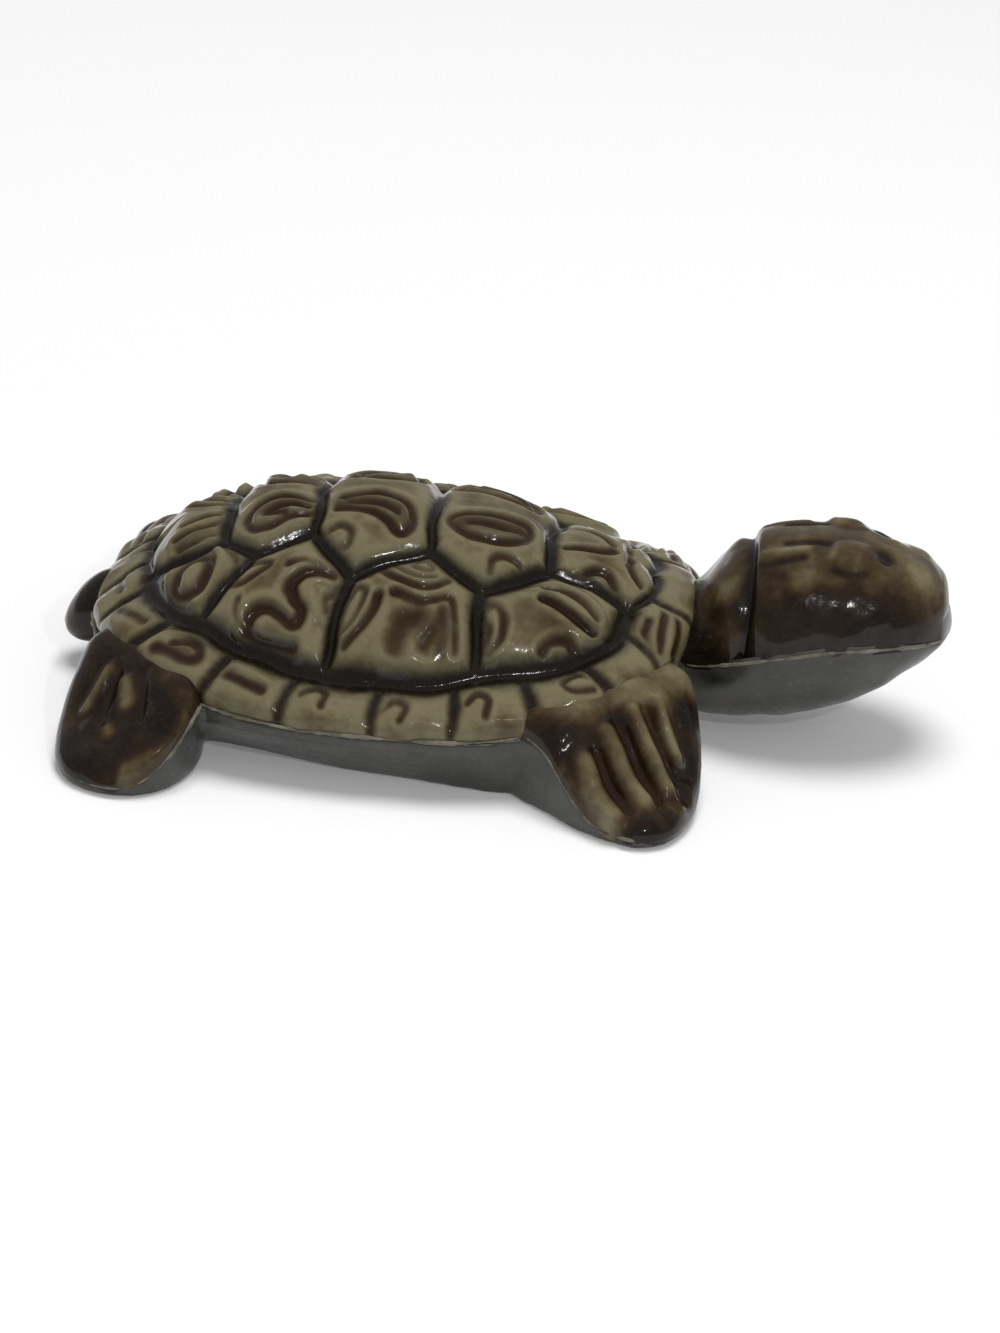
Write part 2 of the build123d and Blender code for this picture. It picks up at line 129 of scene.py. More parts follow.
# Marks pressed into the plates: half width, depth, whether it closes on itself,
# then points in millimetres. A mark with a negative depth is raised.
plate_marks = [
    # rear plate of the middle row
    (0.40, 0.35, False, [(-21.6, 4.4), (-19.4, 3.2), (-17.8, 2.6)]),
    (0.40, 0.35, False, [(-21.4, 5.8), (-19.4, 5.0), (-17.9, 4.6)]),
    (0.35, 0.25, False, [(-21.2, 2.4), (-19.6, 1.6), (-18.0, 1.2)]),
    # fourth plate of the middle row
    (0.50, 0.45, False, [(-8.9, 2.2), (-12.0, 1.8), (-13.9, 2.6), (-14.8, 4.4), (-14.2, 6.0),
                         (-12.6, 6.1), (-10.8, 5.3), (-8.8, 4.8)]),
    (0.50, 0.45, False, [(-9.3, 3.6), (-11.7, 3.4), (-13.2, 4.3), (-11.6, 4.6)]),
    # third plate of the middle row
    (0.50, 0.45, False, [(-5.6, 2.4), (-2.0, 1.9), (0.6, 2.8), (1.7, 4.2), (1.3, 6.0),
                         (0.1, 6.8), (-1.1, 5.8), (-3.1, 4.7), (-5.8, 4.3)]),
    (0.50, 0.45, False, [(-4.8, 3.3), (-2.2, 3.7), (0.1, 4.8)]),
    (0.38, 0.32, False, [(-6.9, 7.9), (-6.0, 7.1), (-4.8, 6.8), (-3.9, 7.6), (-4.1, 8.8),
                         (-5.0, 9.0)]),
    # second plate of the middle row
    (0.50, 0.42, True, [(5.6, 3.4), (8.1, 2.8), (11.1, 2.2), (13.1, 2.4), (12.8, 4.3),
                        (10.5, 5.9), (7.7, 6.1), (6.1, 4.9)]),
    (0.50, 0.40, False, [(7.3, 4.5), (10.0, 4.0), (12.2, 3.3)]),
    (0.38, 0.32, False, [(9.7, 9.6), (9.9, 8.3), (10.9, 7.5), (12.3, 7.4), (13.3, 8.1)]),
    # front plate of the middle row
    (0.42, 0.42, False, [(17.3, 2.7), (19.2, 2.2), (20.7, 1.4), (21.4, 0.6)]),
    (0.45, 0.45, False, [(18.8, 6.1), (19.8, 4.9), (21.2, 5.0), (22.4, 6.8)]),
    (0.42, 0.42, False, [(23.1, 0.7), (23.0, 2.1), (23.8, 3.5), (24.8, 4.2)]),
    # rear plate of the side row
    (0.62, 0.50, True, [(-21.2, 9.9), (-20.5, 8.4), (-19.0, 8.3), (-18.1, 9.8), (-18.4, 11.6),
                        (-19.7, 12.2), (-20.9, 11.5)]),
    (0.42, -0.28, False, [(-23.2, 7.6), (-21.7, 6.4), (-19.3, 6.2), (-17.6, 7.8), (-16.8, 10.1),
                          (-17.3, 12.4), (-18.9, 13.4)]),
    (0.40, 0.35, False, [(-17.0, 7.0), (-16.0, 8.6), (-15.4, 9.8)]),
    # third plate of the side row
    (0.58, 0.60, False, [(-5.3, 11.5), (-6.8, 11.4), (-8.1, 11.9), (-8.9, 13.1), (-8.5, 14.5),
                         (-7.9, 15.3), (-8.3, 16.2), (-9.1, 16.4), (-9.9, 15.7), (-10.7, 15.0),
                         (-11.7, 14.9), (-12.7, 15.6), (-12.8, 16.6), (-11.9, 17.5),
                         (-10.3, 18.0), (-8.8, 18.1)]),
    (0.30, -0.22, False, [(-5.2, 12.6), (-6.4, 12.5), (-7.1, 13.2), (-6.7, 14.4), (-6.2, 15.6)]),
    (0.38, 0.32, False, [(-4.6, 13.3), (-5.5, 13.9), (-5.3, 15.0)]),
    (0.34, 0.30, True, [(-15.0, 12.0), (-14.5, 10.9), (-13.3, 10.4), (-11.6, 10.8),
                        (-12.3, 11.7), (-13.6, 12.4)]),
    (0.34, 0.26, False, [(-9.6, 10.9), (-8.2, 10.4), (-6.8, 10.7)]),
    (0.36, 0.25, False, [(-13.6, 14.0), (-13.9, 15.4), (-13.4, 16.8)]),
    # second plate of the side row
    (0.38, 0.38, False, [(-0.8, 10.7), (0.1, 11.6), (1.4, 12.2), (3.3, 12.5), (4.9, 12.1),
                         (6.2, 11.1)]),
    (0.28, 0.28, False, [(0.6, 10.4), (1.6, 11.2), (3.2, 11.5), (4.9, 11.0)]),
    (0.30, 0.30, True, [(2.3, 10.2), (2.6, 9.5), (3.3, 9.3), (4.1, 9.6), (4.3, 10.3),
                        (3.4, 10.6)]),
    (0.34, 0.34, True, [(-3.7, 16.8), (-2.5, 16.2), (-1.8, 14.6), (-1.8, 13.3), (-2.6, 12.8),
                        (-3.4, 13.9), (-3.9, 15.4)]),
    (0.48, 0.45, False, [(-3.3, 18.2), (-1.4, 16.7), (-0.5, 15.2), (-0.4, 14.0)]),
    (0.40, 0.36, False, [(1.0, 13.5), (4.0, 13.7), (6.6, 13.2), (7.2, 15.2), (7.4, 17.4)]),
    (0.75, 0.26, False, [(1.5, 18.0), (2.2, 15.6), (3.4, 14.8)]),
    (0.70, 0.26, False, [(4.3, 17.2), (5.6, 15.4), (5.8, 14.8)]),
    # front plate of the side row
    (0.34, -0.22, False, [(13.6, 8.9), (15.6, 8.3), (18.0, 8.3), (20.3, 9.2), (21.6, 10.6)]),
    (0.40, 0.32, False, [(14.8, 9.5), (17.0, 9.2), (19.2, 9.8), (20.6, 10.8)]),
    (0.34, -0.26, False, [(13.6, 9.7), (15.8, 10.0), (18.2, 10.6), (20.6, 11.6)]),
    (0.50, 0.62, False, [(14.8, 10.7), (16.8, 11.3), (18.9, 11.8), (20.6, 12.2)]),
    (0.40, 0.36, False, [(9.9, 12.8), (11.0, 12.4), (11.9, 13.5), (11.8, 15.4), (10.7, 17.0)]),
    (0.36, 0.34, False, [(9.8, 14.2), (10.7, 14.6), (10.4, 16.2)]),
    (0.44, 0.38, False, [(16.0, 15.6), (17.1, 14.5), (18.7, 14.0), (19.8, 14.8)]),
    # edge row, from the tail to the neck
    (0.42, 0.34, False, [(-28.0, 3.6), (-27.4, 5.6), (-26.6, 7.6)]),
    (0.45, 0.36, False, [(-26.0, 11.2), (-24.8, 12.9), (-23.6, 14.2)]),
    (0.55, 0.50, False, [(-21.4, 17.2), (-20.0, 17.9), (-18.6, 18.9), (-17.4, 19.0),
                         (-17.2, 18.1), (-18.4, 17.3), (-19.8, 17.1)]),
    (0.40, -0.25, False, [(-23.2, 16.6), (-21.4, 15.7), (-19.0, 16.0), (-17.3, 17.2), (-16.3, 18.7)]),
    (0.48, 0.50, False, [(-15.3, 20.2), (-13.7, 21.0), (-12.1, 21.7), (-10.2, 22.2)]),
    (0.36, -0.22, False, [(-14.8, 19.6), (-12.8, 20.0), (-11.2, 20.7), (-9.8, 21.5)]),
    (0.36, 0.40, False, [(-6.5, 22.2), (-5.2, 21.5), (-4.2, 21.9), (-4.4, 23.0)]),
    (0.36, 0.40, False, [(1.3, 23.1), (2.3, 22.2), (3.4, 22.5), (3.4, 23.6)]),
    (0.36, 0.40, False, [(9.2, 21.7), (10.2, 20.8), (11.3, 21.1), (11.2, 22.4)]),
    (0.36, 0.40, False, [(21.3, 17.0), (19.3, 17.2), (17.9, 18.4), (18.8, 19.1), (21.0, 18.4)]),
    (0.42, 0.50, False, [(25.9, 8.8), (25.5, 10.8), (26.1, 12.1)]),
    (0.42, 0.50, False, [(27.7, 6.8), (27.1, 9.4), (26.9, 11.9)]),
    (0.42, 0.45, False, [(29.2, 6.6), (28.8, 9.2), (28.6, 11.0)]),
]

# Flipper outlines on one side, as shares of half_length and half_span
front_flipper_shares = [
    (0.60, 0.38), (0.88, 0.30), (0.99, 0.37), (1.03, 0.46), (1.055, 0.56),
    (1.06, 0.68), (1.035, 0.82), (0.975, 0.935), (0.89, 0.98), (0.80, 0.96),
    (0.71, 0.915), (0.635, 0.86), (0.575, 0.80), (0.51, 0.75), (0.45, 0.69),
    (0.46, 0.52),
]
rear_flipper_shares = [
    (-0.68, 0.34), (-0.58, 0.44), (-0.545, 0.58), (-0.54, 0.70), (-0.56, 0.79),
    (-0.605, 0.875), (-0.69, 0.945), (-0.80, 0.96), (-0.915, 0.91), (-0.98, 0.82),
    (-1.003, 0.72), (-1.0, 0.62), (-0.98, 0.52), (-0.945, 0.40), (-0.85, 0.30),
]
flipper_thickness = 2.3
flipper_edge = 2.6

# Marks on the flippers, as those on the plates: fingers, furrows and pale rims
front_flipper_marks = [
    (0.95, -0.80, False, [(21.0, 25.2), (22.4, 27.0), (23.8, 28.5)]),
    (0.90, -0.95, False, [(22.9, 22.0), (24.9, 24.6), (26.7, 26.3)]),
    (0.90, -0.95, False, [(24.9, 19.2), (27.0, 21.6), (28.8, 23.9)]),
    (0.72, -0.75, False, [(27.3, 17.6), (28.6, 19.2), (29.6, 20.4)]),
    (0.45, 0.45, False, [(22.2, 23.8), (23.8, 25.8), (25.3, 27.6)]),
    (0.45, 0.45, False, [(23.9, 20.6), (25.9, 23.1), (27.9, 25.3)]),
    (0.45, 0.45, False, [(26.3, 18.4), (27.9, 20.4), (29.4, 22.4)]),
    (1.00, -0.28, False, [(29.8, 26.1), (30.4, 25.4)]),
    (0.55, -0.20, False, [(19.0, 25.6), (21.6, 28.0), (24.6, 29.2)]),
    (1.90, -0.50, False, [(25.0, 16.2), (27.0, 16.6)]),
]
rear_flipper_marks = [
    (0.60, -0.42, False, [(-25.9, 18.6), (-26.7, 20.2), (-27.4, 21.5)]),
    (0.68, -0.45, False, [(-23.9, 20.5), (-23.3, 22.5)]),
    (0.42, -0.24, False, [(-20.9, 23.7), (-20.7, 24.1)]),
    (0.50, -0.30, False, [(-24.8, 24.5), (-24.6, 24.9)]),
    (0.36, -0.15, False, [(-27.3, 23.0), (-27.2, 23.5)]),
    (0.50, 0.30, False, [(-25.2, 18.8), (-25.3, 20.6), (-25.7, 23.2)]),
    (0.50, 0.26, False, [(-22.2, 19.6), (-21.9, 21.8), (-22.0, 24.2)]),
    (0.60, -0.30, False, [(-17.2, 24.6), (-18.4, 26.6), (-20.4, 28.2), (-22.4, 28.9)]),
]
# Share of the pale glaze of the shell that runs on to the root of each flipper
front_root_glow = 0.80
rear_root_glow = 0.15

# Head and neck, each as station along head_reach and a share: half width over
# half_head, then heights of top, seam and underside over body_height
head_width_shares = [
    (0.00, 0.68), (0.08, 0.71), (0.16, 0.80), (0.24, 0.90), (0.33, 0.965), (0.42, 1.00),
    (0.56, 1.00), (0.68, 0.94), (0.79, 0.82), (0.88, 0.65), (0.95, 0.44), (1.00, 0.20),
]
head_top_shares = [
    (0.00, 0.60), (0.05, 0.63), (0.09, 0.685), (0.13, 0.755), (0.17, 0.82),
    (0.22, 0.872), (0.29, 0.92), (0.42, 0.952), (0.56, 0.957), (0.69, 0.945),
    (0.76, 0.91), (0.82, 0.885), (0.88, 0.865), (0.93, 0.825), (0.97, 0.76), (1.00, 0.665),
]
head_seam_shares = [
    (0.00, 0.395), (0.09, 0.395), (0.25, 0.47), (0.42, 0.535), (0.56, 0.575),
    (0.70, 0.588), (0.82, 0.586), (0.92, 0.572), (1.00, 0.555),
]
head_low_shares = [
    (0.00, 0.075), (0.09, 0.06), (0.25, 0.067), (0.42, 0.10), (0.56, 0.145),
    (0.70, 0.225), (0.79, 0.305), (0.88, 0.40), (0.95, 0.475), (1.00, 0.535),
]
head_roundness = 2.15
throat_roundness = 2.0
nose_start_share = 0.95

# Swellings and dents of the head: radius, rise, glaze depth added, then a point
head_spots = [
    (1.80, 0.70, -0.22, (44.7, 3.9, 21.2)),
    (1.00, -0.45, 0.55, (48.3, 2.9, 20.7)),
    (1.70, 0.32, -0.30, (51.8, 3.0, 19.1)),
    (1.40, 0.20, -0.15, (50.0, 1.2, 20.6)),
    (1.70, 0.08, -0.38, (37.2, 6.9, 17.6)),
    (1.50, 0.08, -0.30, (40.2, 6.6, 18.9)),
    (1.30, 0.00, -0.25, (43.4, 6.5, 18.6)),
    (2.40, 0.00, -0.25, (53.0, 4.6, 16.6)),
    (1.80, 0.05, -0.45, (33.4, 7.6, 13.0)),
    (1.60, 0.05, -0.30, (33.2, 5.0, 16.6)),
    (1.50, 0.00, -0.20, (34.0, 8.2, 10.5)),
    (0.40, -0.20, 0.40, (54.0, 1.9, 17.2)),
]
# Lines on the head, as the marks on the plates: half width, depth, then points
head_lines = [
    (0.50, 0.30, [(35.9, 4.4, 18.6), (37.9, 4.6, 19.9), (40.2, 4.3, 20.6)]),
    (0.42, 0.22, [(38.6, 2.4, 21.2), (40.6, 2.2, 21.5), (42.6, 2.6, 21.5)]),
    (0.34, -0.20, [(36.6, 3.2, 20.1), (38.6, 3.4, 20.9), (40.8, 3.2, 21.3)]),
    (0.40, -0.22, [(43.0, 4.6, 20.9), (43.6, 2.9, 21.7), (45.0, 2.0, 21.9), (46.4, 2.4, 21.6)]),
    (0.38, 0.16, [(43.4, 5.7, 19.9), (44.9, 6.0, 19.6), (46.4, 5.5, 19.7)]),
    (0.35, 0.18, [(53.4, 4.5, 14.5), (54.7, 2.8, 14.9), (55.3, 0.6, 15.1)]),
]
crease_x = 35.1
crease_half_width = 0.62
crease_depth = 0.75

# Tail: station along tail_reach, half width over tail_half_width, half height
# over tail_half_height, middle height over body_height
tail_half_width = 3.5
tail_half_height = 3.9
tail_shares = [
    (0.00, 1.00, 1.00, 0.292), (0.34, 0.97, 0.94, 0.270),
    (0.64, 0.82, 0.76, 0.238), (0.86, 0.55, 0.46, 0.210), (1.00, 0.20, 0.14, 0.196),
]

# Fineness of the meshes and of the maps of marks
shell_count = 380
flipper_count = 150
head_stations = 240
head_angles = 150
map_step = 0.14
voxel = 0.4

# Bead of clay along the seam
seam_radius = 0.22
seam_inset = 0.32


def smooth(t):
    """Ease from 0 to 1 without a kink at either end."""
    t = np.clip(t, 0, 1)
    return t * t * (3 - 2 * t)


def along(table, at):
    """Smooth value of a table of (station, value) pairs."""
    stations = np.array([row[0] for row in table])
    values = np.array([row[1] for row in table])
    last = len(table) - 1
    before = np.maximum(np.arange(last + 1) - 1, 0)
    after = np.minimum(np.arange(last + 1) + 1, last)
    slopes = (values[after] - values[before]) / (stations[after] - stations[before])
    at = np.clip(at, stations[0], stations[last])
    k = np.clip(np.searchsorted(stations, at, side="right") - 1, 0, last - 1)
    span = stations[k + 1] - stations[k]
    t = (at - stations[k]) / span
    return (
        values[k] * (1 + 2 * t) * (1 - t) ** 2
        + values[k + 1] * t * t * (3 - 2 * t)
        + span * t * (1 - t) * (slopes[k] * (1 - t) - slopes[k + 1] * t)
    )


def ripple(x, y, z, wave, seed):
    """Uneven gentle wave, mostly between -1 and 1, for hand-made surfaces."""
    dice = np.random.default_rng(seed)
    total = 0
    for _ in range(7):
        heading = dice.normal(size=3)
        heading = heading / np.linalg.norm(heading) * 2 * pi / (wave * dice.uniform(0.7, 1.5))
        total = total + np.sin(x * heading[0] + y * heading[1] + z * heading[2] + dice.uniform(0, 2 * pi))
    return total / 2.6


def rim_z(x):
    """Height of the seam along the rim of the shell."""
    front = smooth((x / half_length - 0.26) / 0.73)
    rear = smooth((-x / half_length - 0.20) / 0.66)
    return rim_height + front_rim_rise * front + rear_rim_rise * rear


def seam_z(x, y):
    """Height of the seam anywhere: it falls towards the flipper tips."""
    outward = 0.6 * (np.abs(x) - 0.4 * half_length) + 0.8 * np.abs(y)
    fall = smooth((outward / half_span - 0.643) / 0.363)
    return rim_z(x) - (rim_z(x) - tip_seam_height) * fall


def shell_z(x, y):
    """Height of the shell without its borders and marks."""
    edge = rim_z(x) + rim_lip
    crest = along(crest_shares, x / half_length) * (body_height - plate_swell - 0.15)
    inside = 1 - np.abs(x / (half_length * end_share)) ** outline_power
    across = half_width * inside ** (1 / outline_power)
    t = np.minimum(np.abs(y) / across, flank_limit)
    return edge + (crest - edge) * (1 - (1 + flank_flare) * t * t + flank_flare * t**4)


def curve(points, closed=False, count=8):
    """Smooth line through points."""
    p = np.array(points, float)
    if closed:
        p = np.vstack([p[-1:], p, p[:2]])
    else:
        p = np.vstack([2 * p[0] - p[1], p, 2 * p[-1] - p[-2]])
    line = []
    for a, b, c, d in zip(p, p[1:], p[2:], p[3:]):
        for i in range(count):
            t = i / count
            bend = (2 * a - 5 * b + 4 * c - d) * t * t + (3 * b - a - 3 * c + d) * t**3
            line.append(0.5 * (2 * b + (c - a) * t + bend))
    line.append(p[-2])
    return np.array(line)


def distance(place, line):
    """Distance from many places to a line of points, in two or three dimensions."""
    best = np.full(place.shape[:-1], 1e9)
    for a, b in zip(line, line[1:]):
        run = b - a
        t = np.clip(((place - a) @ run) / (run @ run + 1e-12), 0, 1)
        best = np.minimum(best, ((place - a - t[..., None] * run) ** 2).sum(-1))
    return np.sqrt(best)


def blur(grid, radius):
    """Soften a map by a radius counted in grid steps."""
    reach = int(3 * radius) + 1
    kernel = np.exp(-((np.arange(-reach, reach + 1) / radius) ** 2) / 2)
    kernel /= kernel.sum()
    for axis in (0, 1):
        pad = [(0, 0), (0, 0)]
        pad[axis] = (reach, reach)
        padded = np.pad(grid, pad, mode="edge")
        grid = np.apply_along_axis(np.convolve, axis, padded, kernel, "valid")
    return grid


class Marks:
    """Map of hand-made marks over a flat grid: rise, and where glaze gathers."""

    def __init__(self, low, high, step):
        self.low, self.step = np.array(low, float), step
        xs = np.arange(low[0], high[0] + step, step)
        ys = np.arange(low[1], high[1] + step, step)
        self.place = np.stack(np.meshgrid(xs, ys, indexing="ij"), -1)
        self.rise = np.zeros(self.place.shape[:2])
        self.ink = np.zeros(self.place.shape[:2])
        self.pale = np.zeros(self.place.shape[:2])

    def window(self, line, reach):
        """Part of the grid round a line."""
        start = np.floor((line.min(0) - reach - self.low) / self.step).astype(int)
        stop = np.ceil((line.max(0) + reach - self.low) / self.step).astype(int) + 1
        start, stop = np.maximum(start, 0), np.maximum(stop, 0)
        return slice(start[0], stop[0]), slice(start[1], stop[1])

    def press(self, width, depth, closed, points):
        """Press a line into the clay, or raise it where depth is negative."""
        line = curve(points, closed)
        area = self.window(line, 5 * width)
        away = distance(self.place[area], line)
        dip = np.exp(-((away / width) ** 2))
        lip = np.exp(-(((away - 1.9 * width) / (0.8 * width)) ** 2))
        self.rise[area] -= depth * (dip - 0.3 * lip)
        shade = self.ink if depth > 0 else self.pale
        strength = min(1, abs(depth) / 0.5)
        shade[area] = np.maximum(shade[area], strength * np.exp(-((away / (1.15 * width)) ** 2.5)))

    def stain(self, width, strength, points):
        """Let brown glaze gather along a line without any relief."""
        line = curve(points)
        area = self.window(line, 3 * width)
        spread = strength * np.exp(-((distance(self.place[area], line) / width) ** 3))
        self.ink[area] = np.maximum(self.ink[area], spread)

    def settle(self, radius):
        """Work out how deep the glaze lies: more in hollows, less on edges."""
        self.pool = blur(self.rise, radius / self.step) - self.rise

    def read(self, layer, x, y):
        """Value of one layer at any places."""
        top = np.array(layer.shape) - 1.001
        i = np.clip((x - self.low[0]) / self.step, 0, top[0])
        j = np.clip((y - self.low[1]) / self.step, 0, top[1])
        a, b = i.astype(int), j.astype(int)
        u, v = i - a, j - b
        return (
            layer[a, b] * (1 - u) * (1 - v) + layer[a + 1, b] * u * (1 - v)
            + layer[a, b + 1] * (1 - u) * v + layer[a + 1, b + 1] * u * v
        )


def shell_marks():
    """Borders, swell and pressed marks of the plates of one side."""
    marks = Marks((-half_length - 3.5, -1), (half_length + 3.5, half_width + 3.5), map_step)
    nearest = np.full(marks.rise.shape, 1e9)
    groove = np.zeros(marks.rise.shape)
    shade = np.zeros(marks.rise.shape)
    for width, depth, smooth_run, shares in border_shares:
        points = np.array(shares) * (half_length, half_width)
        away = distance(marks.place, curve(points) if smooth_run else points)
        nearest = np.minimum(nearest, away)
        groove = np.maximum(groove, depth * np.exp(-((away / width) ** 1.8)))
        shade = np.maximum(shade, np.exp(-((away / (1.25 * width)) ** 2.2)))
    for mark in plate_marks:
        marks.press(*mark)
    for stain in plate_stains:
        marks.stain(*stain)
    inside = smooth((nearest - 0.4) / 1.0)
    marks.rise = np.clip(marks.rise, -0.8, 0.45) * inside
    marks.ink *= inside
    marks.rise += (plate_swell + plate_sink) * (1 - np.exp(-((nearest / plate_round) ** 2)))
    marks.rise -= plate_sink + groove
    marks.groove = blur(shade, 0.2 / map_step)
    marks.settle(0.95)
    marks.pool = 1.35 * marks.pool + 0.10 + 0.20 * smooth((nearest - 0.9) / 2.0)
    return marks


def flipper_marks(rows, outline):
    """Fingers and furrows of one flipper."""
    marks = Marks(outline.min(0) - 2, outline.max(0) + 2, map_step)
    for row in rows:
        marks.press(*row)
    marks.rise = np.clip(marks.rise, -0.5, 0.95)
    marks.settle(0.8)
    return marks


def disc_grid(count):
    """Even grid over a round disc, as radius and angle, and its faces and rim."""
    a, b = np.meshgrid(np.linspace(-1, 1, count + 1), np.linspace(-1, 1, count + 1), indexing="ij")
    x, y = a * np.sqrt(1 - b * b / 2), b * np.sqrt(1 - a * a / 2)
    index = np.arange((count + 1) ** 2).reshape(count + 1, count + 1)
    faces = np.stack([index[:-1, :-1], index[1:, :-1], index[1:, 1:], index[:-1, 1:]], -1)
    rim = np.concatenate([index[:-1, 0], index[-1, :-1], index[:0:-1, -1], index[0, :0:-1]])
    return np.hypot(x, y).ravel(), np.arctan2(y, x).ravel(), faces.reshape(-1, 4), rim


def strip_faces(rows, wrap):
    """Faces between rows of point numbers."""
    faces = []
    for low, high in zip(rows, rows[1:]):
        if wrap:
            low, high = np.append(low, low[0]), np.append(high, high[0])
        faces.append(np.stack([low[:-1], high[:-1], high[1:], low[1:]], -1))
    return np.concatenate(faces)


def make_mesh(name, points, faces):
    """Smooth mesh object from millimetre points."""
    mesh = bpy.data.meshes.new(name)
    mesh.from_pydata((points * mm).tolist(), [], np.asarray(faces).tolist())
    mesh.polygons.foreach_set("use_smooth", np.ones(len(mesh.polygons), bool))
    mesh.update()
    piece = bpy.data.objects.new(name, mesh)
    bpy.context.scene.collection.objects.link(piece)
    return piece


def outward(piece):
    """Outward direction at each point of a mesh."""
    count = len(piece.data.vertices)
    directions = np.zeros(count * 3)
    piece.data.vertices.foreach_get("normal", directions)
    return directions.reshape(count, 3)


def reshape(piece, points):
    """Give a mesh new millimetre points."""
    piece.data.vertices.foreach_set("co", (points * mm).ravel())
    piece.data.update()


def layer(piece, name, values):
    """Store one number per point for the materials."""
    attribute = piece.data.attributes.new(name, "FLOAT", "POINT")
    attribute.data.foreach_set("value", np.asarray(values, float).ravel())


def finish_piece(piece, material, nodes):
    """Hand a piece to the frame in its own finish."""
    piece.data.materials.append(material)
    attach(piece, "root")
    if nodes:
        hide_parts(*nodes)


def carapace_piece():
    """Domed shell with its plates, rolled over at the rim and down to the seam."""
    radius, angle, faces, rim = disc_grid(shell_count)
    edge_roll = 0.9
    c, s = np.cos(angle), np.sin(angle)
    reach = (np.abs(c) ** outline_power + np.abs(s) ** outline_power) ** (-1 / outline_power)
    x = radius * reach * c * (half_length - edge_roll)
    y = radius * reach * s * (half_width - edge_roll)
    points = np.stack([x, y, shell_z(x, y)], -1)
    spots = [points[:, :2]]
    edge = points[rim]
    away = edge[:, :2] / np.linalg.norm(edge[:, :2] / (half_length, half_width), axis=1)[:, None]
    away = away / (half_length**2, half_width**2)
    away /= np.linalg.norm(away, axis=1)[:, None]
    inner = edge[:, :2] - 0.3 * away
    roll_start = np.arctan((shell_z(*inner.T) - edge[:, 2]) / 0.3)
    roll_start = np.clip(roll_start, radians(12), radians(62))
    roll = edge_roll / (1 - np.sin(roll_start))
    rows, layers = [rim], [points]
    steps = 26
    keep = [1 - 0.45 * smooth((radius - 0.88) / 0.12)]
    for i in range(1, steps + 1):
        turn = roll_start + (pi / 2 - roll_start) * min(1, i / 12)
        out = roll * (np.sin(turn) - np.sin(roll_start))
        drop = roll * (np.cos(roll_start) - np.cos(turn))
        level = edge[:, 2] - drop
        if i > 12:
            share = (i - 12) / (steps - 12)
            level = level + (seam_z(edge[:, 0], 0 * edge[:, 1]) - 0.6 - level) * share
            out = out - 0.5 * share * share
        row = np.column_stack([edge[:, :2] + away * out[:, None], level])
        spots.append(edge[:, :2] + away * (roll * (turn - roll_start))[:, None])
        keep.append(np.full(len(rim), 0.55 - 0.5 * smooth(i / 16)))
        rows.append(np.arange(len(rim)) + sum(len(part) for part in layers))
        layers.append(row)
    points = np.concatenate(layers)
    spots = np.concatenate(spots)
    faces = np.concatenate([faces, strip_faces(rows, True)])
    piece = make_mesh("carapace_glaze", points, faces)
    directions = outward(piece)
    if directions[len(directions) // 4, 2] < 0:
        piece.data.flip_normals()
        directions = outward(piece)
    marks = shell_marks()
    seed = np.where(spots[:, 1] < 0, 0.0, 9.0)
    u = spots[:, 0] + 0.30 * ripple(spots[:, 0], spots[:, 1], seed, 9.0, 3)
    v = np.abs(spots[:, 1]) + 0.25 * ripple(spots[:, 0], spots[:, 1], seed, 8.0, 5) * smooth(
        np.abs(spots[:, 1]) / 4
    )
    keep = np.concatenate(keep)
    rise = marks.read(marks.rise, u, v) * (1 - 0.45 * smooth((spots[:, 0] - 25.0) / 4.0))
    rise = np.clip(rise, -1.6, 0.5) * keep
    rise += 0.06 * ripple(*points.T, 4.0, 8) + 0.05 * ripple(*points.T, 9.0, 9)
    reshape(piece, points + directions * rise[:, None])
    layer(piece, "pool", marks.read(marks.pool, u, v) + 0.10 * ripple(*points.T, 8.0, 10))
    layer(piece, "ink", marks.read(marks.ink, u, v))
    layer(piece, "groove", marks.read(marks.groove, u, v) * (0.35 + 0.65 * keep))
    return piece


